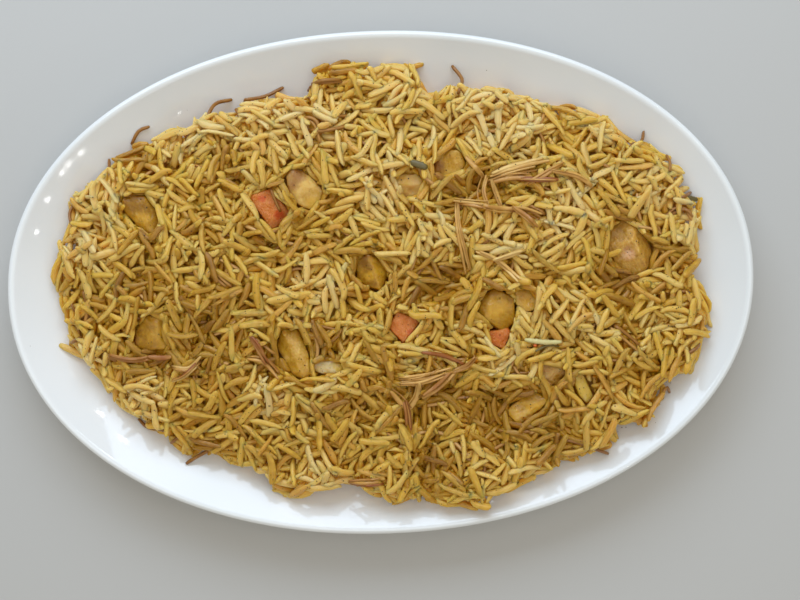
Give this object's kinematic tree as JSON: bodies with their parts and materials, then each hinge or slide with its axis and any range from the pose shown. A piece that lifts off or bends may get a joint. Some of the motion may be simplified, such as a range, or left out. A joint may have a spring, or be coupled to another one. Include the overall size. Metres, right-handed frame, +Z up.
{
  "type": "plate of biryani",
  "caption": "White oval coupe platter heaped with yellow long-grain rice and vermicelli, with diced potato and carrot, chicken pieces and pulled chicken shreds in the rice.",
  "frame": {"origin": "the middle of the platter's foot, on the surface that the platter stands on", "axes": "+X along the platter's length, +Y across it towards the far side of the picture, +Z up"},
  "size_m": [0.356, 0.24, 0.0341],
  "materials": {
    "glaze": "gloss",
    "rice": "satin",
    "potato": "satin",
    "carrot": "satin",
    "chicken": "satin",
    "onion": "satin"
  },
  "bodies": {
    "root": {"platter": "glaze", "rice_heap": "rice", "potato_1": "potato", "potato_2": "potato", "potato_3": "potato", "potato_4": "potato", "potato_5": "potato", "potato_6": "potato", "potato_7": "potato", "potato_8": "potato", "potato_9": "potato", "potato_10": "potato", "carrot_1": "carrot", "carrot_2": "carrot", "carrot_3": "carrot", "chicken_chunk": "chicken", "chicken_bit": "chicken", "onion_piece": "onion", "split_kernel": "onion", "chicken_shreds_1": "chicken", "chicken_shreds_2": "chicken", "chicken_shreds_3": "chicken", "chicken_shreds_4": "chicken", "chicken_shreds_5": "chicken", "chicken_shreds_6": "chicken", "chicken_shreds_7": "chicken"}
  },
  "joints": []
}
